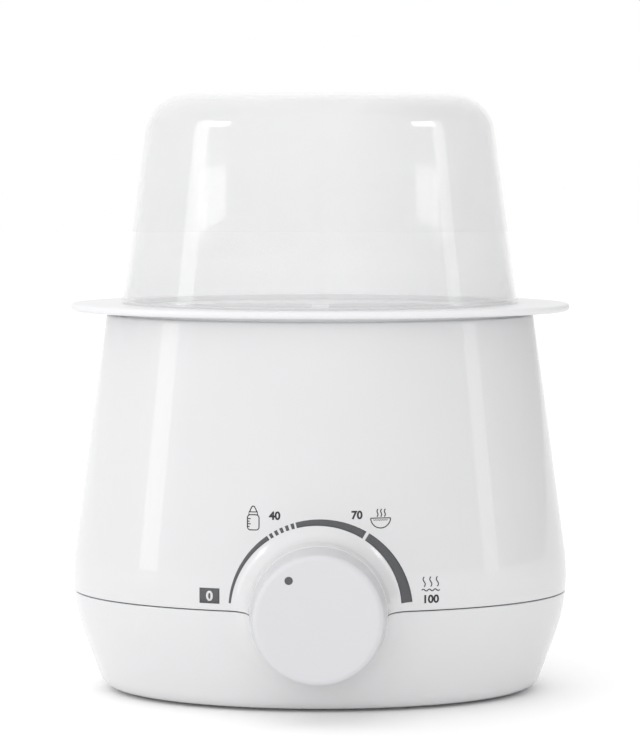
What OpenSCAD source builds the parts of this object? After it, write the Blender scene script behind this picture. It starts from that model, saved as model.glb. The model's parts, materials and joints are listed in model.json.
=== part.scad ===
// Twin bottle warmer: an oval housing with a heated water tank, a lift-out bottle tray,
// a drawn-down lid and one thermostat knob on the front. Millimetres, +Z up, front towards -Y.
// The origin is on the table, under the middle of the overall box.

/* [Housing] */
// Width of the housing at its belly
body_w = 240; // [236:1:244]
// Depth of the housing's sections divided by their width
body_ratio = 0.604; // [0.6:0.002:0.61]
// Height of the widest section
belly_z = 57; // [55:1:59]
// Radius of the belly curve, seen from the front
belly_r = 85; // [80:1:90]
// Lean of the side above the belly, in degrees
upper_lean = 8; // [7.5:0.25:8.5]
// Lean of the side below the belly, in degrees
lower_lean = 20; // [18:1:22]
// Radius of the bottom edge
base_r = 9; // [7:1:10]
// Wall thickness of the housing
wall = 2.4; // [2:0.1:2.6]
// Height of the parting line between the two housing mouldings
seam_z = 49; // [48:0.5:50]
// Open gap along the parting line
seam_gap = 0.5; // [0.3:0.1:0.6]
// Height of the deck on top of the housing
deck_z = 183; // [182:0.5:184]

/* [Tank and tray] */
// Inside half-width of the tank at its rim
tank_half_w = 92; // [91:0.5:92]
// Inside half-depth of the tank at its rim
tank_half_d = 55.2; // [54:0.2:55.6]
// Height of the tank's inside floor
tank_floor_z = 78; // [77:0.5:79]
// Width of the tray's flange over its two lifting ears
tray_w = 241; // [240:0.5:242]
// Depth of the tray's flange
tray_d = 140; // [138:1:141]
// Thickness of the tray's flange
tray_t = 3.5; // [3:0.25:3.75]
// Inside width and depth of each bottle well
well_w = 61; // [60:0.25:62]
// Corner radius of each bottle well
well_corner_r = 14; // [12:1:20]
// Distance between the two bottle wells
well_pitch = 70; // [69:0.5:72]
// Height of the wells' inside floor
well_floor_z = 84; // [82:0.5:86]

/* [Lid] */
// Half-width of the lid above its bead
lid_half_w = 95.6; // [95.2:0.2:96]
// Half-depth of the lid above its bead
lid_half_d = 60; // [59.5:0.5:60.5]
// Height of the lid's flat top above the table
lid_top_z = 289; // [286:1:292]
// Radius of the lid's top edge, seen from the front
lid_corner_r = 20; // [18:1:22]
// Lean of the lid's side, in degrees
lid_lean = 8; // [7.5:0.25:8.5]
// Wall thickness of the lid
lid_wall = 2; // [1.8:0.1:2.2]

/* [Knob] */
// Height of the knob's axis
knob_z = 50; // [49.5:0.5:50.5]
// Radius of the knob's face
knob_r = 30; // [29.5:0.25:30.5]
// Distance of the knob's face in front of the housing's middle
knob_reach = 99.5; // [98:0.5:101]
// Direction of the pointer at rest, in degrees from the right, seen from the front
pointer_angle = 126; // [120:1:132]

/* [Hidden] */
$fn = 96;
OVAL_FN = 60;
FINE = 48;
SMALL = 24;
EPS = 0.05;

foot_h = 1.5;
base_floor = 2.4;
belly_cx = body_w / 2 - belly_r;
body_in_ratio = (body_w / 2 * body_ratio - wall) / (body_w / 2 - wall);
lower_top_z = seam_z - seam_gap / 2;
upper_foot_z = seam_z + seam_gap / 2;
profile_step = 7;
round_step = 18;

tank_wall = 2;
tank_ratio = tank_half_d / tank_half_w;
tank_out_ratio = (tank_half_d + tank_wall) / (tank_half_w + tank_wall);
tank_taper = 6;
tank_corner_r = 8;
tank_lip_w = 5.5;
tank_lip_t = 1.6;
tank_rim_z = deck_z + tank_lip_t;
tank_base_z = tank_floor_z - tank_wall;
level_marks = [108, 138];
deck_gap = 0.6;

heater_hole_r = 34;
gasket_r = 39.5;
gasket_t = 0.8;
plate_r = 40;
plate_t = 2;
plate_top_z = tank_base_z - gasket_t;
plate_low_z = plate_top_z - plate_t;
ring_r = 47;
ring_hole_r = 32;
ring_t = 2;
ring_low_z = plate_low_z - ring_t;
heater_screw_pcr = 43.5;
heater_screw_angles = [0, 35, 145, 180, 215, 325];
heater_post_r = 3.2;
element_r = 22;
element_tube_r = 3.3;
element_z = plate_low_z - element_tube_r - 0.1;
element_open = 50;
element_pin_r = 1.5;
element_pin_h = 9;
element_pin_in = 8;
bulb_y = -12;
bulb_half_l = 9;

rest_gap = 0.3;
tray_low_z = tank_rim_z + rest_gap;
tray_top_z = tray_low_z + tray_t;
tray_ratio = tray_d / tray_w;
tray_pan_z = tray_top_z - 1.7;
well_wall = 1.8;
well_slot_r = 4;
well_slot_x = 12;
well_slot_low = 18;
well_slot_top = 34;
well_drain_r = 5;
rim_h = 1;
rim_t = 1.2;
rim_chamfer = 0.5;
rim_half_w = lid_half_w - lid_wall - 1.4;
skirt_h = 6;
skirt_half_w = tank_half_w - 2;

lid_low_z = tray_top_z + rest_gap;
lid_ratio = lid_half_d / lid_half_w;
lid_in_ratio = (lid_half_d - lid_wall) / (lid_half_w - lid_wall);
lid_bead = 0.5;
lid_bead_h = 2.6;
lid_rib_h = 8;
lid_rib_angles = [20, 60, 120, 160, 200, 240, 300, 340];
lid_corner_z = lid_top_z - lid_corner_r;
lid_corner_x = lid_half_w - (lid_corner_z + lid_corner_r * sin(lid_lean) - lid_low_z) * tan(lid_lean)
    - lid_corner_r * cos(lid_lean);

boss_face = knob_reach - 17;
boss_wall = 2.4;
boss_r = 32.8;
boss_foot_r = 41;
boss_foot = 65;
boss_in_r = 27;
boss_back = 40;
shaft_r = 3;
shaft_fit = 0.05;
shaft_hole_r = 5;
knob_back = boss_face + 0.6;
knob_skirt_r = knob_r + 1.6;
knob_edge_r = 3;
knob_wall = 2.2;
knob_hub_r = 6.5;
knob_bore_depth = 9;
knob_rib_t = 1.4;
pointer_r = 1.9;
pointer_depth = 1;
pointer_radius = 22.8;
flat_depth = 0.9;
clip_t = 0.6;
clip_w = 2.6;

bracket_back = 70.5;
bracket_t = 1.5;
bracket_w = 46;
bracket_h = 26;
bracket_front = bracket_back + bracket_t;
post_x = 20;
post_z = knob_z + 6;
post_r = 3.5;
pilot_r = 1.3;
clear_r = pilot_r + 0.3;
screw_head_r = 2.6;
screw_head_t = 1.8;
screw_slot = [3, 0.7, 1.6];
bushing_r = 4.6;
bushing_front = 79;
nut_r = 7;
nut_t = 2.6;
thermostat_w = 34;
thermostat_d = 20;
thermostat_h = 26;
shaft_back = bracket_back - 8;

gland_z = 25;
gland_pad_r = 11;
gland_pad_face = 71.5;
gland_pad_back = 59;
gland_neck_r = 6;
gland_flange_r = 8.5;
gland_flange_t = 2;
cord_hole_r = 3.6;
rear_reach = gland_pad_face + gland_flange_t;
axis_y = (knob_reach - rear_reach) / 2;

block_x = -52;
block_y = 4;
block_pitch = 7;
block_screw_x = 12;
block_w = 34;
block_d = 16;
block_h = 13;
block_z = foot_h + base_floor;
terminal_z = block_z + 4;
terminal_r = 1.9;
terminal_h = 6;
lead_end_z = 12;
lead_low_z = 28;
lead_mid_z = 34;
lead_top_z = 42;

foot_x = 66;
foot_y = 26;
foot_r = 7;
foot_stem_r = 2.5;
foot_barb_h = 2.5;
case_screw_x = 84;
case_screw_y = 18;
case_post_r = 5;
case_head_r = 3.6;
case_head_z = 20;
case_head_t = 2.5;
case_screw_tip = 62;
case_post_top = 72;
upper_rib_reach = 29;
rib_reach_low = 14.5;
rib_reach_high = 24.5;
case_rib_r = 1;
thread_r = 1.5;
fit_gap = 0.05;

// ---------- Shared shapes ----------

// An oval solid: a profile turned about Z, then flattened front to back.
module oval(ratio) {
    scale([1, ratio, 1]) rotate_extrude($fn = OVAL_FN) children();
}

// Everything is drawn about the housing's own axis, then set over the overall box's middle.
module placed() {
    translate([0, axis_y, 0]) children();
}

// A shape drawn along +Z is turned to point forward, out of the front, at height z.
module facing_front(x, z, depth) {
    translate([x, -depth, z]) rotate([90, 0, 0]) children();
}

// A small screw standing on its head, with a shank of length reach past the head.
module cross_head_screw(reach) {
    difference() {
        union() {
            cylinder(r = screw_head_r, h = screw_head_t, $fn = SMALL);
            cylinder(r = pilot_r - fit_gap, h = screw_head_t + reach, $fn = SMALL);
        }
        for (a = [0, 90])
            rotate([0, 0, a]) cube(screw_slot, center = true);
    }
}

// Half-width of the housing's side at height z, for a surface t inside the outer one.
function side_half(z, t) =
    let (r = belly_r - t,
         z_up = belly_z + r * sin(upper_lean),
         z_low = belly_z - r * sin(lower_lean))
    z > z_up ? belly_cx + r * cos(upper_lean) - (z - z_up) * tan(upper_lean) :
    z < z_low ? belly_cx + r * cos(lower_lean) - (z_low - z) * tan(lower_lean) :
    belly_cx + sqrt(r * r - (z - belly_z) * (z - belly_z));

// Points of the housing's side from height z0 to z1.
function side_points(z0, z1, t) = concat(
    [[side_half(z0, t), z0]],
    [for (a = [-lower_lean:profile_step:upper_lean])
        let (r = belly_r - t, z = belly_z + r * sin(a))
        if (z > z0 + 1 && z < z1 - 1) [belly_cx + r * cos(a), z]],
    [[side_half(z1, t), z1]]
);

// Points of an arc about (x, z).
function arc_points(x, z, r, a0, a1, step) =
    [for (i = [0:round((a1 - a0) / step)])
        let (a = a0 + (a1 - a0) * i / round((a1 - a0) / step))
        [x + r * cos(a), z + r * sin(a)]];

// The rounded bottom edge of the housing, t inside the outer surface.
function base_points(t) =
    let (zc = foot_h + base_r,
         xc = side_half(zc - base_r * sin(lower_lean), 0) - base_r * cos(lower_lean))
    arc_points(xc, zc, base_r - t, -90, -lower_lean, round_step);

// ---------- Housing ----------

// The concave boss that carries the knob, hollow from behind.
module knob_boss() {
    facing_front(0, knob_z, 0)
        rotate_extrude($fn = OVAL_FN)
            polygon(concat(
                [[0, boss_foot - 12], [boss_foot_r, boss_foot - 12]],
                [for (a = [90:-15:0]) [boss_r + (boss_foot_r - boss_r) * (1 - cos(a)),
                    boss_face - 1 - (boss_face - 1 - boss_foot) * sin(a)]],
                [[boss_r - 1, boss_face], [0, boss_face]]
            ));
}

module knob_boss_hollow() {
    facing_front(0, knob_z, boss_back)
        cylinder(r = boss_in_r, h = boss_face - boss_wall - boss_back, $fn = FINE);
    facing_front(0, knob_z, boss_back)
        cylinder(r = shaft_hole_r, h = boss_face - boss_back + 1, $fn = FINE);
}

// Everything between two heights.
module slab(z0, z1) {
    translate([-body_w, -body_w, z0]) cube([2 * body_w, 2 * body_w, z1 - z0]);
}

module housing_inner(z0, z1) {
    oval(body_in_ratio) polygon(concat([[0, z0]], side_points(z0, z1, wall), [[0, z1]]));
}

module case_posts(z0, z1, r) {
    for (sx = [-1, 1], sy = [-1, 1])
        translate([sx * case_screw_x, sy * case_screw_y, z0]) cylinder(r = r, h = z1 - z0, $fn = SMALL);
}

// Ribs with round ends that tie the screw posts to the side walls, from height z0 to z1.
// Their outer ends lean with the wall, from reach0 past the post's axis at z0 to reach1 at z1.
module case_ribs(z0, z1, reach0, reach1) {
    end_h = 1;
    for (sx = [-1, 1], sy = [-1, 1])
        hull() {
            translate([sx * (case_screw_x + 2), sy * case_screw_y, z0])
                cylinder(r = case_rib_r, h = z1 - z0, $fn = 16);
            for (end = [[reach0, z0], [reach1, z1 - end_h]])
                translate([sx * (case_screw_x + end[0]), sy * case_screw_y, end[1]])
                    cylinder(r = case_rib_r, h = end_h, $fn = 16);
        }
}

// Gussets under the ends of the deck, between the side walls and the tank.
module deck_gussets() {
    gusset_y = 12;
    gusset_t = 1.6;
    gusset_drop = 14;
    gusset_w = 5.4;
    top_x = side_half(deck_z, wall) - gusset_w - 0.7;
    for (sx = [-1, 1], sy = [-1, 1])
        scale([sx, sy, 1]) hull() {
            translate([top_x, gusset_y, deck_z - wall - EPS]) cube([gusset_w, gusset_t, 0.8]);
            translate([top_x + gusset_w, gusset_y, deck_z - wall - gusset_drop]) cube([1.2, gusset_t, 1]);
        }
}

module upper_housing() {
    color("whitesmoke") difference() {
        union() {
            difference() {
                union() {
                    oval(body_ratio) polygon(concat(
                        [[0, upper_foot_z]],
                        side_points(upper_foot_z, deck_z - 1.5, 0),
                        [[side_half(deck_z, 0) - 1.5, deck_z], [0, deck_z]]
                    ));
                    intersection() {
                        knob_boss();
                        slab(upper_foot_z, deck_z);
                    }
                }
                housing_inner(upper_foot_z - 1, deck_z - wall);
                knob_boss_hollow();
                oval(tank_out_ratio)
                    square([tank_half_w + tank_wall + deck_gap, deck_z + 1]);
            }
            case_posts(upper_foot_z + 4, case_post_top, case_post_r);
            case_ribs(seam_z + 8, case_post_top, upper_rib_reach, upper_rib_reach);
            deck_gussets();
            for (s = [-1, 1])
                facing_front(s * post_x, post_z, bracket_front)
                    cylinder(r = post_r, h = boss_face - boss_wall - bracket_front + EPS, $fn = SMALL);
        }
        case_posts(upper_foot_z, case_screw_tip + 2, thread_r);
        for (s = [-1, 1])
            facing_front(s * post_x, post_z, bracket_front - 1)
                cylinder(r = pilot_r, h = 9, $fn = SMALL);
    }
}

// The lower housing's tongue, which stands inside the upper housing's wall.
module seam_tongue() {
    tongue_low = seam_z - 5;
    tongue_top = seam_z + 3;
    step_z = lower_top_z - EPS;
    difference() {
        oval(body_in_ratio) polygon([
            [0, tongue_low], [side_half(tongue_low, wall - 0.5), tongue_low],
            [side_half(step_z, wall - 0.5), step_z], [side_half(step_z, wall + 0.2), step_z],
            [side_half(tongue_top, wall + 0.2), tongue_top], [0, tongue_top]
        ]);
        oval(body_in_ratio) polygon([
            [0, tongue_low - 1], [side_half(tongue_low, wall + 1.4), tongue_low - 1],
            [side_half(tongue_top, wall + 1.4), tongue_top + 1], [0, tongue_top + 1]
        ]);
    }
}

module floor_vents() {
    for (i = [-3:3])
        hull() for (sy = [-1, 1])
            translate([i * 8, sy * 12, foot_h - 1]) cylinder(r = 1.5, h = base_floor + 2, $fn = 16);
}

module lower_housing() {
    color("whitesmoke") difference() {
        union() {
            difference() {
                union() {
                    oval(body_ratio) polygon(concat(
                        [[0, foot_h]], base_points(0),
                        side_points(foot_h + base_r, lower_top_z, 0), [[0, lower_top_z]]
                    ));
                    intersection() {
                        knob_boss();
                        slab(foot_h, lower_top_z);
                    }
                    intersection() {
                        translate([0, gland_pad_face, gland_z]) rotate([90, 0, 0])
                            cylinder(r = gland_pad_r, h = 8, $fn = FINE);
                        slab(foot_h, lower_top_z);
                    }
                }
                oval(body_in_ratio) polygon(concat(
                    [[0, foot_h + base_floor]], base_points(wall),
                    side_points(foot_h + base_r, seam_z + 1, wall), [[0, seam_z + 1]]
                ));
            }
            seam_tongue();
            case_posts(foot_h + EPS, lower_top_z, case_post_r);
            case_ribs(foot_h + base_floor - EPS, seam_z - 20, rib_reach_low, rib_reach_high);
            translate([0, gland_pad_back + 6, gland_z]) rotate([90, 0, 0])
                cylinder(r = gland_pad_r - 2, h = 6, $fn = FINE);
        }
        knob_boss_hollow();
        case_posts(foot_h - 1, case_head_z, case_head_r + 0.4);
        case_posts(foot_h - 1, seam_z + 1, thread_r + 0.3);
        translate([0, rear_reach, gland_z]) rotate([90, 0, 0])
            cylinder(r = gland_neck_r, h = rear_reach - gland_pad_back + 2, $fn = FINE);
        for (sx = [-1, 1], sy = [-1, 1])
            translate([sx * foot_x, sy * foot_y, foot_h - 1])
                cylinder(r = foot_stem_r, h = base_floor + 2, $fn = SMALL);
        for (s = [-1, 1])
            translate([block_x + s * block_screw_x, block_y, foot_h - 1])
                cylinder(r = pilot_r, h = base_floor + 2, $fn = SMALL);
        floor_vents();
    }
}

module rubber_feet() {
    color("dimgray") for (sx = [-1, 1], sy = [-1, 1])
        translate([sx * foot_x, sy * foot_y, 0]) {
            cylinder(r = foot_r, h = foot_h, $fn = FINE);
            cylinder(r = foot_stem_r - fit_gap, h = foot_h + base_floor, $fn = SMALL);
            translate([0, 0, foot_h + base_floor])
                cylinder(r1 = foot_stem_r + 1, r2 = foot_stem_r - 1, h = foot_barb_h, $fn = SMALL);
        }
}

module housing_screws() {
    color("silver") for (sx = [-1, 1], sy = [-1, 1])
        translate([sx * case_screw_x, sy * case_screw_y, case_head_z - case_head_t]) difference() {
            union() {
                cylinder(r = case_head_r, h = case_head_t, $fn = SMALL);
                cylinder(r = thread_r - fit_gap, h = case_screw_tip - case_head_z + case_head_t, $fn = SMALL);
            }
            for (a = [0, 90])
                rotate([0, 0, a]) cube([4, 0.9, 2.4], center = true);
        }
}

// ---------- Tank and heater ----------

function tank_half(z) = tank_half_w - tank_taper * (tank_rim_z - z) / (tank_rim_z - tank_floor_z);

module water_tank() {
    zc = tank_floor_z + tank_corner_r;
    xc = tank_half(zc) - tank_corner_r;
    color("gainsboro") difference() {
        union() {
            oval(tank_out_ratio) polygon(concat(
                [[0, tank_base_z]],
                arc_points(xc, zc, tank_corner_r + tank_wall, -90, 0, round_step),
                [[tank_half_w + tank_wall, deck_z], [tank_half_w + tank_wall + tank_lip_w, deck_z],
                 [tank_half_w + tank_wall + tank_lip_w, tank_rim_z], [0, tank_rim_z]]
            ));
            for (a = heater_screw_angles)
                rotate([0, 0, a]) translate([heater_screw_pcr, 0, plate_low_z]) hull() {
                    cylinder(r = heater_post_r, h = 1, $fn = SMALL);
                    cylinder(r = heater_post_r - 0.3, h = tank_floor_z - plate_low_z - 0.5, $fn = SMALL);
                }
        }
        oval(tank_ratio) polygon(concat(
            [[0, tank_floor_z]],
            arc_points(xc, zc, tank_corner_r, -90, 0, round_step),
            [[tank_half_w, tank_rim_z], [tank_half_w, tank_rim_z + 1], [0, tank_rim_z + 1]]
        ));
        translate([0, 0, tank_base_z - 1]) cylinder(r = heater_hole_r, h = 2 * tank_wall + 1);
        for (a = heater_screw_angles)
            rotate([0, 0, a]) translate([heater_screw_pcr, 0, plate_low_z - 1])
                cylinder(r = pilot_r, h = 4, $fn = SMALL);
    }
    color("gainsboro") for (s = [-1, 1], z = level_marks)
        hull() for (sy = [-1, 1])
            translate([s * (tank_half(z) - 0.3), sy * 7, z]) sphere(r = 1, $fn = 12);
}

module tank_gasket() {
    color("indianred") translate([0, 0, plate_top_z]) difference() {
        cylinder(r = gasket_r, h = gasket_t);
        translate([0, 0, -1]) cylinder(r = heater_hole_r + 0.5, h = gasket_t + 2);
    }
}

module heater_plate() {
    color("silver") translate([0, 0, plate_low_z]) cylinder(r = plate_r, h = plate_t);
}

module heater_ring() {
    color("lightsteelblue") translate([0, 0, ring_low_z]) difference() {
        cylinder(r = ring_r, h = ring_t);
        translate([0, 0, -1]) cylinder(r = ring_hole_r, h = ring_t + 2);
        for (a = heater_screw_angles)
            rotate([0, 0, a]) translate([heater_screw_pcr, 0, -1])
                cylinder(r = clear_r, h = ring_t + 2, $fn = SMALL);
    }
}

module heater_screws() {
    color("silver") for (a = heater_screw_angles)
        rotate([0, 0, a]) translate([heater_screw_pcr, 0, ring_low_z - screw_head_t])
            cross_head_screw(ring_t + 2.5);
}

module heating_element() {
    color("gray") {
        translate([0, 0, element_z]) rotate([0, 0, 90 + element_open / 2])
            rotate_extrude(angle = 360 - element_open)
                translate([element_r, 0]) circle(r = element_tube_r, $fn = FINE);
        for (s = [-1, 1])
            rotate([0, 0, 90 + s * (element_open / 2 + element_pin_in)])
                translate([element_r, 0, element_z - element_pin_h])
                    cylinder(r = element_pin_r, h = element_pin_h, $fn = SMALL);
    }
}

// A cut-off fuse in its sleeve, held against the plate's middle.
module thermal_fuse() {
    fuse_r = 2.2;
    color("khaki") translate([0, 0, plate_low_z - fuse_r - 0.1]) rotate([0, 90, 0]) {
        cylinder(r = fuse_r, h = 14, center = true, $fn = SMALL);
        cylinder(r = 0.6, h = 26, center = true, $fn = SMALL);
    }
}

// The thermostat's liquid-filled bulb.
module sensor_bulb() {
    bulb_r = 2.4;
    color("peru") translate([0, bulb_y, plate_low_z - bulb_r - 0.1]) rotate([0, 90, 0])
        cylinder(r = bulb_r, h = 2 * bulb_half_l, center = true, $fn = SMALL);
}

// The fine tube that joins the bulb to the switch.
module capillary_tube() {
    tube_r = 0.8;
    bulb_z = plate_low_z - 2.5;
    turn_x = bulb_half_l + 3.5;
    down_z = 60;
    front_y = -bracket_back + thermostat_d + EPS;
    color("peru") {
        translate([bulb_half_l, bulb_y, bulb_z]) rotate([0, 90, 0])
            cylinder(r = tube_r, h = turn_x - bulb_half_l);
        translate([turn_x, bulb_y, bulb_z]) sphere(r = tube_r);
        translate([turn_x, bulb_y, down_z]) cylinder(r = tube_r, h = bulb_z - down_z);
        translate([turn_x, bulb_y, down_z]) sphere(r = tube_r);
        translate([turn_x, bulb_y, down_z]) rotate([90, 0, 0])
            cylinder(r = tube_r, h = bulb_y - front_y);
    }
}

// ---------- Thermostat and knob ----------

module thermostat_body() {
    color("linen") difference() {
        union() {
            translate([-thermostat_w / 2, -bracket_back, knob_z - thermostat_h / 2])
                cube([thermostat_w, thermostat_d, thermostat_h]);
            facing_front(0, knob_z, bracket_back - EPS)
                cylinder(r = bushing_r, h = bushing_front - bracket_back, $fn = FINE);
            for (s = [-1, 1])
                translate([s * 8 - 3, -bracket_back + thermostat_d - EPS, knob_z - 9])
                    cube([6, 7, 0.8]);
        }
        facing_front(0, knob_z, shaft_back - 0.3)
            cylinder(r = shaft_r + shaft_fit, h = bushing_front, $fn = FINE);
    }
}

module thermostat_bracket() {
    color("silver") difference() {
        translate([-bracket_w / 2, -bracket_front, knob_z - bracket_h / 2])
            cube([bracket_w, bracket_t, bracket_h]);
        facing_front(0, knob_z, bracket_back - 1) cylinder(r = bushing_r + 0.2, h = 4, $fn = FINE);
        for (s = [-1, 1])
            facing_front(s * post_x, post_z, bracket_back - 1)
                cylinder(r = clear_r, h = 4, $fn = SMALL);
    }
}

module thermostat_nut() {
    color("silver") facing_front(0, knob_z, bracket_front) difference() {
        cylinder(r = nut_r, h = nut_t, $fn = 6);
        translate([0, 0, -1]) cylinder(r = bushing_r + fit_gap, h = nut_t + 2, $fn = FINE);
    }
}

module bracket_screws() {
    color("silver") for (s = [-1, 1])
        facing_front(s * post_x, post_z, bracket_back - screw_head_t)
            cross_head_screw(bracket_t + 6);
}

// The knob's angular frame: its +X points at the pointer, its +Z out of the front.
module knob_frame(depth) {
    facing_front(0, knob_z, depth) rotate([0, 0, pointer_angle]) children();
}

// Depth of the flat on the shaft: everything past it is cut away.
module shaft_flat(depth, length) {
    translate([shaft_r - flat_depth, -shaft_r - 1, depth]) cube([shaft_r, 2 * shaft_r + 2, length]);
}

module thermostat_shaft() {
    shaft_l = knob_back + knob_bore_depth - shaft_back;
    color("silver") knob_frame(shaft_back) difference() {
        cylinder(r = shaft_r, h = shaft_l, $fn = FINE);
        shaft_flat(knob_back - shaft_back, shaft_l);
    }
}

module shaft_seal() {
    color("dimgray") facing_front(0, knob_z, boss_face - boss_wall) difference() {
        cylinder(r = shaft_hole_r - fit_gap, h = boss_wall, $fn = FINE);
        translate([0, 0, -1]) cylinder(r = shaft_r + shaft_fit, h = boss_wall + 2, $fn = FINE);
    }
}

module knob() {
    h = knob_reach - knob_back;
    color("white") knob_frame(knob_back) difference() {
        union() {
            difference() {
                rotate_extrude() polygon(concat(
                    [[0, 0], [knob_skirt_r, 0], [knob_skirt_r, 1]],
                    arc_points(knob_r - knob_edge_r, h - knob_edge_r, knob_edge_r, 0, 90, 15),
                    [[0, h]]
                ));
                translate([0, 0, -1]) cylinder(r = knob_r - knob_wall - 0.6, h = h - knob_wall + 1);
            }
            cylinder(r = knob_hub_r, h = h - 1, $fn = FINE);
            for (a = [30:60:330])
                rotate([0, 0, a]) translate([knob_hub_r - 1, -knob_rib_t / 2, 3])
                    cube([knob_r - knob_hub_r - 2, knob_rib_t, h - 4]);
        }
        translate([0, 0, -1]) cylinder(r = shaft_r, h = knob_bore_depth + 1 + fit_gap, $fn = FINE);
        translate([pointer_radius, 0, h - pointer_depth]) cylinder(r = pointer_r, h = 2, $fn = SMALL);
    }
}

module knob_pointer() {
    color("dimgray") knob_frame(knob_reach - pointer_depth)
        translate([pointer_radius, 0, 0]) cylinder(r = pointer_r, h = pointer_depth, $fn = SMALL);
}

// The leaf that takes up the play between the shaft's flat and the knob's bore.
module knob_clip() {
    color("gold") knob_frame(knob_back)
        translate([shaft_r - flat_depth, -clip_w / 2, 0.5]) cube([clip_t, clip_w, knob_bore_depth - 1]);
}

// ---------- Wiring ----------

module terminal_block() {
    color("ivory") difference() {
        translate([block_x - block_w / 2, block_y - block_d / 2, block_z]) cube([block_w, block_d, block_h]);
        for (i = [-1, 0, 1])
            translate([block_x + i * block_pitch, block_y, terminal_z])
                cylinder(r = terminal_r + 0.1, h = block_h, $fn = SMALL);
        for (s = [-1, 1])
            translate([block_x + s * block_screw_x, block_y, block_z - 1])
                cylinder(r = pilot_r + 0.2, h = block_h + 2, $fn = SMALL);
    }
}

module terminal_screws() {
    color("silver") {
        for (i = [-1, 0, 1])
            translate([block_x + i * block_pitch, block_y, terminal_z]) difference() {
                cylinder(r = terminal_r, h = terminal_h, $fn = SMALL);
                translate([0, 0, terminal_h]) cube([4.5, 0.7, 1.6], center = true);
            }
        for (s = [-1, 1])
            translate([block_x + s * block_screw_x, block_y, block_z + block_h + fit_gap + screw_head_t])
                mirror([0, 0, 1]) cross_head_screw(block_h + fit_gap + base_floor - 0.3);
    }
}

// One straight run of insulated lead with rounded ends, from p to q along one axis each time.
module lead_run(p, q) {
    lead_r = 1.2;
    d = q - p;
    tilt = d[2] != 0 ? [0, 0, 0] : d[0] != 0 ? [0, 90, 0] : [-90, 0, 0];
    start = [min(p[0], q[0]), min(p[1], q[1]), min(p[2], q[2])];
    translate(start) rotate(tilt) cylinder(r = lead_r, h = norm(d), $fn = SMALL);
    for (e = [p, q])
        translate(e) sphere(r = lead_r, $fn = SMALL);
}

module lead(points) {
    for (i = [0:len(points) - 2])
        lead_run(points[i], points[i + 1]);
}

module heater_leads() {
    pin_x = element_r * sin(element_open / 2 + element_pin_in);
    pin_y = element_r * cos(element_open / 2 + element_pin_in);
    pin_z = element_z - element_pin_h - 1.4;
    live_x = block_x + block_pitch;
    color("firebrick") {
        lead([[pin_x, pin_y, pin_z], [pin_x, pin_y, lead_mid_z], [live_x, pin_y, lead_mid_z],
              [live_x, block_y + 10, lead_mid_z], [live_x, block_y + 10, lead_end_z]]);
        lead([[-pin_x, pin_y, pin_z], [-pin_x, pin_y, lead_top_z], [-26, pin_y, lead_top_z],
              [-26, -40, lead_top_z], [-14, -40, lead_top_z]]);
        lead([[block_x, block_y - 10, lead_end_z], [block_x, block_y - 10, lead_low_z],
              [block_x, -38, lead_low_z], [-14, -38, lead_low_z]]);
    }
}

module cord_gland() {
    back = gland_pad_back;
    color("dimgray") difference() {
        union() {
            translate([0, rear_reach, gland_z]) rotate([90, 0, 0])
                cylinder(r = gland_flange_r, h = gland_flange_t, $fn = FINE);
            translate([0, rear_reach - EPS, gland_z]) rotate([90, 0, 0])
                cylinder(r = gland_neck_r - fit_gap, h = rear_reach - back, $fn = FINE);
            translate([0, back, gland_z]) rotate([90, 0, 0])
                cylinder(r = gland_flange_r - 1.5, h = gland_flange_t, $fn = FINE);
        }
        translate([0, rear_reach + 1, gland_z]) rotate([90, 0, 0])
            cylinder(r = cord_hole_r, h = rear_reach - back + 6, $fn = FINE);
    }
}

// ---------- Tray and lid ----------

// A rounded-square prism about one well's axis, grown by g beyond the well's inside.
module well_solid(s, g, z0, z1) {
    corner = well_w / 2 - well_corner_r;
    translate([s * well_pitch / 2, 0, z0]) linear_extrude(z1 - z0)
        hull() for (sx = [-1, 1], sy = [-1, 1])
            translate([sx * corner, sy * corner]) circle(r = well_corner_r + g, $fn = 40);
}

// A cutter with round ends for one pair of slots, right through a well along Y.
module well_slot_pair() {
    reach = well_w / 2 + 3;
    hull() for (z = [well_floor_z + well_slot_low, tray_low_z - well_slot_top])
        translate([0, reach, z]) rotate([90, 0, 0]) cylinder(r = well_slot_r, h = 2 * reach, $fn = SMALL);
}

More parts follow.
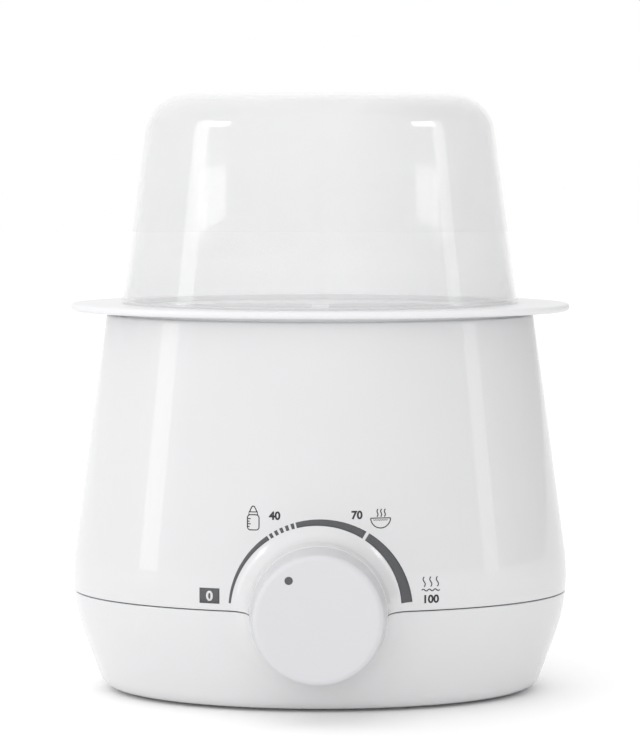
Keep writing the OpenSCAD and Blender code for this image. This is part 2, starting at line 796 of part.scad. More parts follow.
module bottle_tray() {
    edge_r = tray_t / 2;
    well_low_z = well_floor_z - well_wall;
    color("white") difference() {
        union() {
            oval(tray_ratio) polygon(concat(
                [[0, tray_low_z]],
                arc_points(tray_w / 2 - edge_r, tray_low_z + edge_r, edge_r, -90, 90, 30),
                [[rim_half_w - rim_t - 2, tray_top_z], [rim_half_w - rim_t - 3.5, tray_pan_z],
                 [0, tray_pan_z]]
            ));
            difference() {
                oval(lid_in_ratio) polygon([
                    [0, tray_low_z + 1], [rim_half_w, tray_low_z + 1],
                    [rim_half_w, tray_top_z + rim_h - rim_chamfer],
                    [rim_half_w - rim_chamfer, tray_top_z + rim_h], [0, tray_top_z + rim_h]
                ]);
                oval(lid_in_ratio) polygon([
                    [0, tray_low_z], [rim_half_w - rim_t, tray_low_z],
                    [rim_half_w - rim_t, tray_top_z + rim_h + 1], [0, tray_top_z + rim_h + 1]
                ]);
            }
            difference() {
                oval(tank_ratio) translate([0, tray_low_z - skirt_h]) square([skirt_half_w, skirt_h + 1]);
                oval(tank_ratio) translate([0, tray_low_z - skirt_h - 1])
                    square([skirt_half_w - 2, skirt_h + 2]);
            }
            for (s = [-1, 1])
                well_solid(s, well_wall, well_low_z, tray_pan_z + 0.8);
        }
        for (s = [-1, 1])
            well_solid(s, 0, well_floor_z, tray_top_z + 5);
        for (s = [-1, 1])
            translate([s * well_pitch / 2, 0, 0]) {
                for (a = [0, 90], t = [-1, 1])
                    rotate([0, 0, a]) translate([t * well_slot_x, 0, 0]) well_slot_pair();
                for (i = [0:6])
                    rotate([0, 0, i * 60]) translate([i == 6 ? 0 : 17, 0, well_low_z - 1])
                        cylinder(r = well_drain_r, h = well_wall + 2, $fn = SMALL);
            }
    }
}

function lid_side_x(z, t) = lid_half_w - t - (z - lid_low_z) * tan(lid_lean);

// Low ribs inside the lid's lower edge, which centre it on the tray's rim.
module lid_ribs() {
    proud = 0.4;
    rib_r = 0.8;
    x = lid_half_w - lid_wall - proud + rib_r;
    y = lid_half_d - lid_wall - proud + rib_r;
    for (a = lid_rib_angles)
        hull() for (z = [lid_low_z + rib_r, lid_low_z + lid_rib_h])
            translate([x * cos(a), y * sin(a), z]) {
                inset = (z - lid_low_z) * tan(lid_lean);
                translate([-inset * cos(a), -inset * sin(a), 0]) sphere(r = rib_r, $fn = 12);
            }
}

module lid() {
    side_top = lid_corner_z + lid_corner_r * sin(lid_lean);
    color("ghostwhite", 0.6) difference() {
        oval(lid_ratio) polygon(concat(
            [[0, lid_low_z], [lid_half_w + lid_bead, lid_low_z],
             [lid_half_w + lid_bead, lid_low_z + lid_bead_h - 1],
             [lid_side_x(lid_low_z + lid_bead_h, 0), lid_low_z + lid_bead_h]],
            arc_points(lid_corner_x, lid_corner_z, lid_corner_r, lid_lean, 90, round_step),
            [[0, lid_top_z]]
        ));
        oval(lid_in_ratio) polygon(concat(
            [[0, lid_low_z - 1], [lid_side_x(lid_low_z, lid_wall), lid_low_z - 1],
             [lid_side_x(lid_low_z, lid_wall), lid_low_z]],
            arc_points(lid_corner_x, lid_corner_z, lid_corner_r - lid_wall, lid_lean, 90, round_step),
            [[0, lid_top_z - lid_wall]]
        ));
    }
    color("ghostwhite", 0.6) lid_ribs();
}

// ---------- Nodes ----------

placed() lid();
placed() bottle_tray();
placed() upper_housing();
placed() lower_housing();
placed() water_tank();
placed() tank_gasket();
placed() heater_plate();
placed() heater_ring();
placed() heater_screws();
placed() heating_element();
placed() thermal_fuse();
placed() sensor_bulb();
placed() capillary_tube();
placed() thermostat_body();
placed() thermostat_bracket();
placed() thermostat_nut();
placed() bracket_screws();
placed() thermostat_shaft();
placed() shaft_seal();
placed() knob();
placed() knob_pointer();
placed() knob_clip();
placed() terminal_block();
placed() terminal_screws();
placed() heater_leads();
placed() cord_gland();
placed() rubber_feet();
placed() housing_screws();
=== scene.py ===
"""Looks of the twin bottle warmer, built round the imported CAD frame.

Metres, +Z up, front towards -Y.
"""
import json
import math

import bmesh
import bpy
import numpy as np
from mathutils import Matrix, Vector
from mathutils.geometry import delaunay_2d_cdt


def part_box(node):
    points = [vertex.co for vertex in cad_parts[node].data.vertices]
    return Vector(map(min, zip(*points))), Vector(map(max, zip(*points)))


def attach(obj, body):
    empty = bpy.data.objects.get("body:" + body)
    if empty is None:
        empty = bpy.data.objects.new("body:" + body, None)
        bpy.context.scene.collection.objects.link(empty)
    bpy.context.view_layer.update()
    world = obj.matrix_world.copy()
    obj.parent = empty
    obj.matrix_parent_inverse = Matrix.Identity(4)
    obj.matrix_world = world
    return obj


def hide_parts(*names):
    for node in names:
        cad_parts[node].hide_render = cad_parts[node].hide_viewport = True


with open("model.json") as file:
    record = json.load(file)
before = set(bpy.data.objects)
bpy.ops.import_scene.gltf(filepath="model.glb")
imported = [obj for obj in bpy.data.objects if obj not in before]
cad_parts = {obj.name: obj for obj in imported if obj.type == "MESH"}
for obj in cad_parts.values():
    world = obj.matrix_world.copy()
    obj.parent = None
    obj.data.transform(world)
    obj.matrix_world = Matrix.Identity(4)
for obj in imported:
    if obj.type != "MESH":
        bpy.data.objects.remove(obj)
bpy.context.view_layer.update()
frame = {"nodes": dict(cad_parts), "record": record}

MM = 0.001
TAU = 2 * math.pi


# ---------- Sizes, from the frame and the part's own dimensions ----------

upper_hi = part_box("upper_housing")[1]
lower_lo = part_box("lower_housing")[0]
tray_lo, tray_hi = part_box("bottle_tray")
tank_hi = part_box("water_tank")[1]
lid_lo, lid_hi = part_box("lid")
knob_lo, knob_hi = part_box("knob")
gland_lo, gland_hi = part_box("cord_gland")

AXIS_Y = (tray_lo.y + tray_hi.y) / 2
KNOB_Z = (knob_lo.z + knob_hi.z) / 2
KNOB_FACE = AXIS_Y - knob_lo.y
KNOB_BACK = AXIS_Y - knob_hi.y

BODY_W = 120 * MM
BODY_RATIO = 0.604
BELLY_Z = 57 * MM
BELLY_R = 85 * MM
UPPER_LEAN = math.radians(8)
LOWER_LEAN = math.radians(20)
BASE_Z = lower_lo.z
BASE_R = 9 * MM
DECK_Z = upper_hi.z
DECK_EDGE_R = 1.5 * MM
SEAM_Z = 49 * MM
SEAM_GAP = 0.5 * MM
SEAM_EDGE_R = 0.35 * MM
WALL = 2.4 * MM

BOSS_FACE = KNOB_BACK - 0.6 * MM
BOSS_R = 31.9 * MM
BOSS_FOOT_R = 44 * MM
BOSS_LIP_R = 0.8 * MM
RECESS_R = 30.4 * MM
RECESS_DEPTH = 2 * MM
SHAFT_HOLE_R = 5 * MM

TANK_RIM_Z = tank_hi.z
TANK_HALF = (92 * MM, 55.2 * MM)
TANK_WALL = 2 * MM
TANK_FLOOR_Z = 78 * MM
TANK_TAPER = 6 * MM
TANK_CORNER_R = 8 * MM
HEATER_HOLE_R = 34 * MM

TRAY_LOW_Z = 184.9 * MM
TRAY_T = 3.5 * MM
TRAY_TOP_Z = TRAY_LOW_Z + TRAY_T
PAN_Z = TRAY_TOP_Z - 1.7 * MM
RIM_TOP_Z = TRAY_TOP_Z + 1 * MM
RIM_T = 1.2 * MM
RIM_FILLET = 0.3 * MM
WELL_HALF = 30.5 * MM
WELL_CORNER_R = 14 * MM
WELL_PITCH = 70 * MM
WELL_FLOOR_Z = 84 * MM
WELL_WALL = 1.8 * MM
SLOT_R = 4 * MM
SLOT_X = 12 * MM
SLOT_LOW_Z = 102 * MM
SLOT_TOP_Z = 151 * MM

LID_HALF = (95.6 * MM, 60 * MM)
LID_LEAN = math.radians(8)
LID_CORNER_R = 20 * MM
LID_WALL = 2 * MM
LID_BEAD = 0.5 * MM
LID_BEAD_H = 2.6 * MM

INK_LIFT = 0.06 * MM
INK_T = 0.05 * MM

# Angles of the printed scale about the knob, in degrees, from the off end to the hot end.
SCALE_OFF, SCALE_HOT = 176, 4.7
SCALE_BANDS = ((104.8, 59), (56.9, SCALE_HOT))
SCALE_FIRST_END = 124.8
DASH_START, DASH_END, DASH_PITCH, DASHES = 123.4, 121.3, 3.8, 5


# ---------- Materials ----------

class Shader:
    """Builds one Principled material with short calls."""

    def __init__(self, name):
        self.material = bpy.data.materials.new(name)
        self.material.use_nodes = True
        self.tree = self.material.node_tree
        self.surface = self.tree.nodes["Principled BSDF"]
        self.place = self.tree.nodes.new("ShaderNodeTexCoord")

    def link(self, source, out, target, into):
        self.tree.links.new(source.outputs[out], target.inputs[into])

    def stretched(self, scale):
        """Object coordinates scaled by a vector, for grain that runs one way."""
        mapping = self.tree.nodes.new("ShaderNodeMapping")
        mapping.inputs["Scale"].default_value = scale
        self.link(self.place, "Object", mapping, "Vector")
        return mapping

    def noise(self, scale, detail=3.0, roughness=0.5, source=None):
        node = self.tree.nodes.new("ShaderNodeTexNoise")
        node.inputs["Scale"].default_value = scale
        node.inputs["Detail"].default_value = detail
        node.inputs["Roughness"].default_value = roughness
        if source is None:
            self.link(self.place, "Object", node, "Vector")
        else:
            self.link(source, "Vector", node, "Vector")
        return node

    def colour(self, source, low, high):
        node = self.tree.nodes.new("ShaderNodeValToRGB")
        for stop, place, value in zip(node.color_ramp.elements, (0.3, 0.7), (low, high)):
            stop.position = place
            stop.color = (*value, 1)
        self.link(source, "Fac", node, "Fac")
        self.link(node, "Color", self.surface, "Base Color")

    def number(self, source, low, high, socket="Roughness"):
        node = self.tree.nodes.new("ShaderNodeMapRange")
        node.inputs["To Min"].default_value = low
        node.inputs["To Max"].default_value = high
        self.link(source, "Fac", node, "Value")
        self.link(node, "Result", self.surface, socket)

    def bump(self, source, strength, distance):
        node = self.tree.nodes.new("ShaderNodeBump")
        node.inputs["Strength"].default_value = strength
        node.inputs["Distance"].default_value = distance
        self.link(source, "Fac", node, "Height")
        self.link(node, "Normal", self.surface, "Normal")

    def set(self, **values):
        for key, value in values.items():
            self.surface.inputs[key.replace("_", " ")].default_value = value


def moulded_plastic(name, shade, tone, gloss, peel=0.02, coat=0.0):
    """Moulded plastic: faint cloudiness, slightly uneven gloss and a very fine orange peel."""
    s = Shader(name)
    s.colour(s.noise(9, 4, 0.55), shade, tone)
    s.number(s.noise(34, 5, 0.6), *gloss)
    s.bump(s.noise(420, 2, 0.4), peel, 0.0004)
    s.set(IOR=1.5, Coat_Weight=coat, Coat_Roughness=0.03)
    return s.material


def frosted_plastic(name):
    """Milky, half clear plastic: what is behind shows through it, under a glossy skin."""
    s = Shader(name)
    s.colour(s.noise(12, 4, 0.55), (0.665, 0.667, 0.673), (0.69, 0.692, 0.698))
    s.number(s.noise(40, 4, 0.6), 0.10, 0.16)
    s.number(s.noise(25, 4, 0.55), 0.31, 0.36, "Alpha")
    s.bump(s.noise(380, 2, 0.4), 0.010, 0.0003)
    s.set(IOR=1.9, Coat_Weight=1.0, Coat_Roughness=0.02, Coat_IOR=1.7)
    return s.material


def brushed_metal(name, tone, gloss, stretch=(1, 1, 40), strength=0.06):
    """Metal with fine lines, and stains too faint to see as spots."""
    s = Shader(name)
    lines = s.noise(60, 4, 0.6, s.stretched(stretch))
    s.colour(s.noise(40), tuple(0.84 * c for c in tone), tone)
    s.number(lines, *gloss)
    s.bump(lines, strength, 0.0003)
    s.set(Metallic=1.0)
    return s.material


def matt_rubber(name, tone):
    s = Shader(name)
    grain = s.noise(700, 3, 0.6)
    s.colour(s.noise(60), tuple(0.75 * c for c in tone), tone)
    s.number(grain, 0.5, 0.7)
    s.bump(grain, 0.25, 0.0004)
    return s.material


def printed_ink(name, tone):
    """Screen print, a little uneven where it lies thin."""
    s = Shader(name)
    speck = s.noise(900, 3, 0.6)
    s.colour(speck, tuple(0.8 * c for c in tone), tone)
    s.number(speck, 0.35, 0.5)
    s.bump(speck, 0.05, 0.0002)
    return s.material


def make_materials():
    """One material for each of the record's slots, and the prints."""
    return {
        "white_plastic": moulded_plastic(
            "white_plastic", (0.632, 0.632, 0.640), (0.648, 0.648, 0.656), (0.26, 0.32), coat=0.8),
        "tray_plastic": moulded_plastic(
            "tray_plastic", (0.705, 0.705, 0.715), (0.725, 0.725, 0.735), (0.32, 0.38), peel=0.004),
        "knob_plastic": moulded_plastic(
            "knob_plastic", (0.585, 0.585, 0.605), (0.598, 0.598, 0.618), (0.36, 0.40), peel=0.008),
        "tank_plastic": moulded_plastic(
            "tank_plastic", (0.70, 0.71, 0.72), (0.74, 0.75, 0.76), (0.35, 0.45), peel=0.06),
        "phenolic": moulded_plastic(
            "phenolic", (0.42, 0.35, 0.26), (0.50, 0.43, 0.33), (0.45, 0.6), peel=0.12),
        "lid_plastic": frosted_plastic("lid_plastic"),
        "steel": brushed_metal("steel", (0.62, 0.62, 0.63), (0.22, 0.36)),
        "plated_steel": brushed_metal(
            "plated_steel", (0.66, 0.66, 0.68), (0.18, 0.30), (1, 1, 1), 0.03),
        "element_sheath": brushed_metal(
            "element_sheath", (0.24, 0.24, 0.25), (0.45, 0.6), (1, 1, 1), 0.1),
        "copper": brushed_metal("copper", (0.72, 0.40, 0.26), (0.25, 0.4), (1, 1, 1), 0.05),
        "silicone": matt_rubber("silicone", (0.50, 0.12, 0.08)),
        "black_rubber": matt_rubber("black_rubber", (0.035, 0.035, 0.037)),
        "lead_jacket": matt_rubber("lead_jacket", (0.45, 0.05, 0.04)),
        "pointer_ink": printed_ink("pointer_ink", (0.085, 0.087, 0.092)),
        "scale_ink": printed_ink("scale_ink", (0.085, 0.087, 0.093)),
        "sign_ink": printed_ink("sign_ink", (0.022, 0.022, 0.026)),
        "white_ink": printed_ink("white_ink", (0.75, 0.75, 0.76)),
    }


def dress_cad_nodes(materials):
    """Every CAD node takes the better material of its record slot."""
    for part in frame["record"]["subparts"]:
        node = frame["nodes"][part["node"]]
        for place in node.material_slots:
            place.material = materials[part["material_slot"]]


# ---------- Mesh helpers ----------

def arc(cx, cz, r, a0, a1, count):
    """Points of an arc from a0 to a1 degrees."""
    angles = [math.radians(a0 + (a1 - a0) * i / count) for i in range(count + 1)]
    return [(cx + r * math.cos(a), cz + r * math.sin(a)) for a in angles]


def circle(cx, cz, r, count):
    return arc(cx, cz, r, 0, 360, count)[:-1]


def upright(w, d, z, a):
    """A point of an oval about the housing's axis."""
    return (w * math.cos(a), AXIS_Y + d * math.sin(a), z)


def forward(w, d, depth, a):
    """A point of a circle about the knob's axis, depth in front of the housing's axis."""
    return (w * math.cos(a), AXIS_Y - depth, KNOB_Z + d * math.sin(a))


def bridge(bm, low, high):
    """Joins two rings of points; a ring of one point is a pole."""
    if len(low) == 1 and len(high) == 1:
        return
    count = max(len(low), len(high))
    for i in range(count):
        j = (i + 1) % count
        if len(low) == 1:
            bm.faces.new((low[0], high[j], high[i]))
        elif len(high) == 1:
            bm.faces.new((low[i], low[j], high[0]))
        else:
            bm.faces.new((low[i], low[j], high[j], high[i]))


def add_ring(bm, row, place, count, first=0.0):
    w, d, along = row
    if w < 1e-7:
        return [bm.verts.new(place(0, 0, along, 0))]
    return [bm.verts.new(place(w, d, along, first + TAU * i / count)) for i in range(count)]


def turned(bm, rows, place, count, closed=False):
    """Lofts rings through rows of (half width, half depth, place along the axis)."""
    rings = [add_ring(bm, row, place, count) for row in rows]
    for low, high in zip(rings, rings[1:]):
        bridge(bm, low, high)
    if closed:
        bridge(bm, rings[-1], rings[0])
    return rings


def within(points, loop):
    """Which of the points lie inside the closed outline."""
    px, py = points[:, 0:1], points[:, 1:2]
    ax, ay = np.array(loop).T
    bx, by = np.roll(ax, -1), np.roll(ay, -1)
    straddles = (ay > py) != (by > py)
    rise = np.where(by == ay, 1e-12, by - ay)
    crosses = px < (bx - ax) * (py - ay) / rise + ax
    return np.count_nonzero(straddles & crosses, axis=1) % 2 == 1


def pierced_sheet(bm, outline, holes, place, lattice=()):
    """Fills a flat outline round its holes, and puts every point in space with place(u, v)."""
    flat = []
    edges = []
    for loop in (outline, *holes):
        first = len(flat)
        flat += [Vector(p) for p in loop]
        edges += [(first + i, first + (i + 1) % len(loop)) for i in range(len(loop))]
    flat += [Vector(p) for p in lattice]
    points, _, faces, _, _, _ = delaunay_2d_cdt(flat, edges, [], 0, 1e-8)
    middles = np.array([[sum(points[i][k] for i in face) / len(face) for k in (0, 1)]
                        for face in faces])
    kept = within(middles, outline)
    for hole in holes:
        kept &= ~within(middles, hole)
    verts = {}
    for face, keep in zip(faces, kept):
        if keep:
            for i in face:
                if i not in verts:
                    verts[i] = bm.verts.new(place(*points[i]))
            bm.faces.new([verts[i] for i in face])


def finish_piece(name, bm, material, body, nodes=(), smooth=35, up=None):
    """Turns a mesh into a piece that rides on a body. With up, a sheet's faces turn to that side."""
    bmesh.ops.remove_doubles(bm, verts=bm.verts, dist=1e-6)
    bmesh.ops.recalc_face_normals(bm, faces=bm.faces)
    if up is not None:
        facing = sum(face.normal.dot(Vector(up)) * face.calc_area() for face in bm.faces)
        if facing < 0:
            bmesh.ops.reverse_faces(bm, faces=bm.faces)
    mesh = bpy.data.meshes.new(name)
    bm.to_mesh(mesh)
    bm.free()
    for polygon in mesh.polygons:
        polygon.use_smooth = True
    mesh.set_sharp_from_angle(angle=math.radians(smooth))
    mesh.materials.append(material)
    piece = bpy.data.objects.new(name, mesh)
    bpy.context.collection.objects.link(piece)
    if body:
        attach(piece, body)
    if nodes:
        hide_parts(*nodes)
    return piece


def thicken(piece, thickness):
    """Gives a sheet its wall, on the side its faces turn away from."""
    modifier = piece.modifiers.new("thickness", "SOLIDIFY")
    modifier.thickness = thickness
    modifier.offset = -1
    modifier.use_even_offset = True


# ---------- Housing ----------

BELLY_X = BODY_W - BELLY_R


def side_half(z):
    """Half-width of the housing's side at height z."""
    z_up = BELLY_Z + BELLY_R * math.sin(UPPER_LEAN)
    z_low = BELLY_Z - BELLY_R * math.sin(LOWER_LEAN)
    if z > z_up:
        return BELLY_X + BELLY_R * math.cos(UPPER_LEAN) - (z - z_up) * math.tan(UPPER_LEAN)
    if z < z_low:
        return BELLY_X + BELLY_R * math.cos(LOWER_LEAN) - (z_low - z) * math.tan(LOWER_LEAN)
    return BELLY_X + math.sqrt(BELLY_R ** 2 - (z - BELLY_Z) ** 2)


BASE_EDGE_Z = BASE_Z + BASE_R * (1 - math.sin(LOWER_LEAN))
BASE_EDGE_X = side_half(BASE_EDGE_Z) - BASE_R * math.cos(LOWER_LEAN)


def housing_half(z):
    """Half-width of the whole outer profile, its rounded bottom edge included."""
    if z >= BASE_EDGE_Z:
        return side_half(z)
    return BASE_EDGE_X + math.sqrt(max(0.0, BASE_R ** 2 - (BASE_Z + BASE_R - z) ** 2))


def front_depth(x, z):
    """How far the plain housing stands in front of its own axis at (x, z)."""
    half = housing_half(z)
    return BODY_RATIO * math.sqrt(max(0.0, half * half - x * x))


def boss_depth(x, z):
    """The same with the knob's flared boss blended in."""
    plain = front_depth(x, z)
    t = (BOSS_FOOT_R - math.hypot(x, z - KNOB_Z)) / (BOSS_FOOT_R - BOSS_R)
    if t <= 0:
        return plain
    rise = 1 - math.sqrt(max(0.0, 1 - min(t, 1.0) ** 2.6))
    return plain + (BOSS_FACE - BOSS_LIP_R - plain) * rise


def housing_rows():
    """Heights of the skin's rings, close together round its edges."""
    rows = arc(BASE_EDGE_X, BASE_Z + BASE_R, BASE_R, -90, -math.degrees(LOWER_LEAN), 10)
    z = BASE_EDGE_Z + 2 * MM
    while z < DECK_Z - DECK_EDGE_R - 1 * MM:
        rows.append((housing_half(z), z))
        z += 2 * MM
    edge_x = housing_half(DECK_Z - DECK_EDGE_R) - DECK_EDGE_R
    rows += arc(edge_x, DECK_Z - DECK_EDGE_R, DECK_EDGE_R, math.degrees(UPPER_LEAN), 90, 5)
    return rows


def boss_rings(bm, count):
    """The flared boss from its foot to its lip, and the recess behind the knob."""
    steps = 24
    edge = 0.3 * MM
    corner = 0.5 * MM
    rings = []
    for k in range(steps + 1):
        r = BOSS_FOOT_R + (BOSS_R - BOSS_FOOT_R) * math.sin(k / steps * math.pi / 2)
        ring = []
        for x, z in circle(0, KNOB_Z, r, count):
            ring.append(bm.verts.new((x, AXIS_Y - boss_depth(x, z), z)))
        rings.append(ring)
    lip_arc = arc(BOSS_R - BOSS_LIP_R, 0, BOSS_LIP_R, 22.5, 90, 3)
    bottom = BOSS_FACE - RECESS_DEPTH
    profile = [(r, BOSS_FACE - BOSS_LIP_R + h) for r, h in lip_arc]
    profile += [(RECESS_R + edge, BOSS_FACE), (RECESS_R, BOSS_FACE - edge),
                (RECESS_R, bottom + corner), (RECESS_R - corner, bottom),
                (SHAFT_HOLE_R, bottom), (SHAFT_HOLE_R, bottom - WALL)]
    rings += [add_ring(bm, (r, r, depth), forward, count) for r, depth in profile]
    for outer, inner in zip(rings, rings[1:]):
        bridge(bm, outer, inner)


def underside(bm, count):
    """The floor, with its vents and the wells of the four case screws and two block screws."""
    turns = [TAU * (i + 0.5) / count for i in range(count)]
    outline = [(BASE_EDGE_X * math.cos(a), BODY_RATIO * BASE_EDGE_X * math.sin(a)) for a in turns]
    vent_r, vent_reach, vent_pitch, vent_depth = 1.5 * MM, 12 * MM, 8 * MM, 3 * MM
    case_x, case_y, case_r, case_depth = 84 * MM, 18 * MM, 4 * MM, 14.5 * MM
    block_x, block_y, block_reach = -52 * MM, 4 * MM, 12 * MM
    block_r, block_depth = 1.3 * MM, 2.4 * MM
    holes = []
    for i in range(-3, 4):
        top = arc(i * vent_pitch, vent_reach, vent_r, 0, 180, 8)
        low = arc(i * vent_pitch, -vent_reach, vent_r, 180, 360, 8)
        holes.append((top + low, vent_depth))
    for sx in (-1, 1):
        for sy in (-1, 1):
            holes.append((circle(sx * case_x, sy * case_y, case_r, 32), case_depth))
        holes.append((circle(block_x + sx * block_reach, block_y, block_r, 20), block_depth))
    loops = [loop for loop, _ in holes]
    pierced_sheet(bm, outline, loops, lambda x, y: (x, AXIS_Y + y, BASE_Z))
    for loop, depth in holes:
        low = [bm.verts.new((x, AXIS_Y + y, BASE_Z)) for x, y in loop]
        high = [bm.verts.new((x, AXIS_Y + y, BASE_Z + depth)) for x, y in loop]
        bridge(bm, low, high)


def housing_skin():
    """The whole outer skin: an oval loft with a window at the front, where the boss blends in."""
    bm = bmesh.new()
    count, boss_count = 256, 192
    first = TAU / count / 2
    rows = housing_rows()
    grid = [add_ring(bm, (half, BODY_RATIO * half, z), upright, count, first) for half, z in rows]
    front = 3 * count // 4
    reach = 26
    cols = [front - reach + i for i in range(2 * reach)]
    window_low_z, window_top_z = 4.5 * MM, 104 * MM
    foot_clear = 1.2 * MM
    low = min(i for i, (_, z) in enumerate(rows) if z > window_low_z)
    high = max(i for i, (_, z) in enumerate(rows) if z < window_top_z)
    for r in range(len(rows) - 1):
        for c in range(count):
            if low <= r < high and cols[0] <= c < cols[-1]:
                continue
            n = (c + 1) % count
            bm.faces.new((grid[r][c], grid[r][n], grid[r + 1][n], grid[r + 1][c]))
    border = [grid[low][c] for c in cols]
    border += [grid[r][cols[-1]] for r in range(low + 1, high)]
    border += [grid[high][c] for c in reversed(cols)]
    border += [grid[r][cols[0]] for r in range(high - 1, low, -1)]
    outline = [(vert.co.x, vert.co.z) for vert in border]
    lattice = []
    for r in range(low + 1, high):
        for c in cols[1:-1]:
            x, z = grid[r][c].co.x, grid[r][c].co.z
            if math.hypot(x, z - KNOB_Z) > BOSS_FOOT_R + foot_clear:
                lattice.append((x, z))
    foot = circle(0, KNOB_Z, BOSS_FOOT_R, boss_count)
    pierced_sheet(bm, outline, [foot], lambda x, z: (x, AXIS_Y - front_depth(x, z), z), lattice)
    for r in range(low + 1, high):
        for c in cols[1:-1]:
            bm.verts.remove(grid[r][c])
    boss_rings(bm, boss_count)
    opening = (94.6 * MM, 57.8 * MM)
    deck = [add_ring(bm, (*opening, z), upright, count, first) for z in (DECK_Z, DECK_Z - WALL)]
    bridge(bm, grid[-1], deck[0])
    bridge(bm, deck[0], deck[1])
    underside(bm, count)
    bmesh.ops.remove_doubles(bm, verts=bm.verts, dist=2e-6)
    bmesh.ops.recalc_face_normals(bm, faces=bm.faces)
    return bm


# Each turn of the lip along the parting line: how far in, and how far past the cut, in mm.
SEAM_LIP = ((0.10, -0.24), (0.35, -0.35), (2.1, -0.35), (2.1, 5.0))


def moulding(skin, z, side):
    """The skin on one side of height z, with a rolled lip. side is 1 for the upper moulding."""
    bm = skin.copy()
    cut_z = z + side * SEAM_EDGE_R
    geometry = bm.verts[:] + bm.edges[:] + bm.faces[:]
    bmesh.ops.bisect_plane(bm, geom=geometry, plane_co=(0, 0, cut_z), plane_no=(0, 0, side),
                           clear_inner=True)
    rim = [e for e in bm.edges
           if e.is_boundary and all(abs(v.co.z - cut_z) < 1e-6 for v in e.verts)]
    start = {}
    for inset, height in SEAM_LIP:
        made = bmesh.ops.extrude_edge_only(bm, edges=rim)["geom"]
        rim = [g for g in made if isinstance(g, bmesh.types.BMEdge)]
        for vert in (g for g in made if isinstance(g, bmesh.types.BMVert)):
            away = Vector((vert.co.x, (vert.co.y - AXIS_Y) / BODY_RATIO ** 2, 0)).normalized()
            done = start.get(tuple(round(c, 7) for c in vert.co), 0.0)
            vert.co -= away * (inset * MM - done)
            vert.co.z = cut_z + side * height * MM
            start[tuple(round(c, 7) for c in vert.co)] = inset * MM
    return bm


def housings(materials):
    skin = housing_skin()
    upper = moulding(skin, SEAM_Z + SEAM_GAP / 2, 1)
    lower = moulding(skin, SEAM_Z - SEAM_GAP / 2, -1)
    skin.free()
    plastic = materials["white_plastic"]
    finish_piece("upper_housing_shell", upper, plastic, "base", ["upper_housing"],
                 40)
    finish_piece("lower_housing_shell", lower, plastic, "base", ["lower_housing"],
                 40)
    rear_pad(plastic)


def rear_pad(plastic):
    """The flat round pad on the back that carries the cord gland."""
    gland_flange = 2 * MM
    face = gland_hi.y - gland_flange
    height = (gland_lo.z + gland_hi.z) / 2
    flare = [(15, -9), (13, -6.5), (11.8, -4.2), (11.2, -2.4), (11, -0.9)]
    edge_r, edge_at = 0.8 * MM, 10.2 * MM
    bore_r, bore_depth = 6.1 * MM, 8 * MM
    rows = [(r * MM, r * MM, face + along * MM) for r, along in flare]
    rows += [(r, r, face - edge_r + h) for r, h in arc(edge_at, 0, edge_r, 0, 90, 4)]
    rows += [(bore_r, bore_r, face), (bore_r, bore_r, face - bore_depth)]
    bm = bmesh.new()
    turned(bm, rows, lambda w, d, y, a: (w * math.cos(a), y, height + d * math.sin(a)), 72)
    finish_piece("rear_gland_pad", bm, plastic, "base", (), 40)


# ---------- Tank ----------

def water_tank(materials):
    """The tank as one closed wall: inside, floor ring, outside and the lip that rests on the deck."""
    w, d = TANK_HALF
    ratio_in, ratio_out = d / w, (d + TANK_WALL) / (w + TANK_WALL)
    corner_z = TANK_FLOOR_Z + TANK_CORNER_R
    taper = TANK_TAPER * (TANK_RIM_Z - corner_z) / (TANK_RIM_Z - TANK_FLOOR_Z)
    corner_x = w - taper - TANK_CORNER_R
    edge = 0.5 * MM
    lip_reach = 5.5 * MM
    lip_x = w + TANK_WALL + lip_reach
    inner = arc(w + edge, TANK_RIM_Z - edge, edge, 90, 180, 3)
    inner += arc(corner_x, corner_z, TANK_CORNER_R, 0, -90, 10)
    outer = arc(corner_x, corner_z, TANK_CORNER_R + TANK_WALL, -90, 0, 10)
    outer += [(w + TANK_WALL, DECK_Z), (lip_x, DECK_Z)]
    outer += arc(lip_x - edge, TANK_RIM_Z - edge, edge, 0, 90, 3)
    rows = [(x, x * ratio_in, z) for x, z in inner]
    rows += [(HEATER_HOLE_R, HEATER_HOLE_R, z) for z in (TANK_FLOOR_Z, TANK_FLOOR_Z - TANK_WALL)]
    rows += [(x, x * ratio_out, z) for x, z in outer]
    bm = bmesh.new()
    turned(bm, rows, upright, 192, closed=True)
    finish_piece("water_tank_wall", bm, materials["tank_plastic"], "base", ["water_tank"],
                 40)


# ---------- Tray ----------

RIM_HALF_W = LID_HALF[0] - LID_WALL - 1.4 * MM
RIM_RATIO = (LID_HALF[1] - LID_WALL) / (LID_HALF[0] - LID_WALL)
PAN_HALF_W = RIM_HALF_W - RIM_T
PAN_T = 1.7 * MM


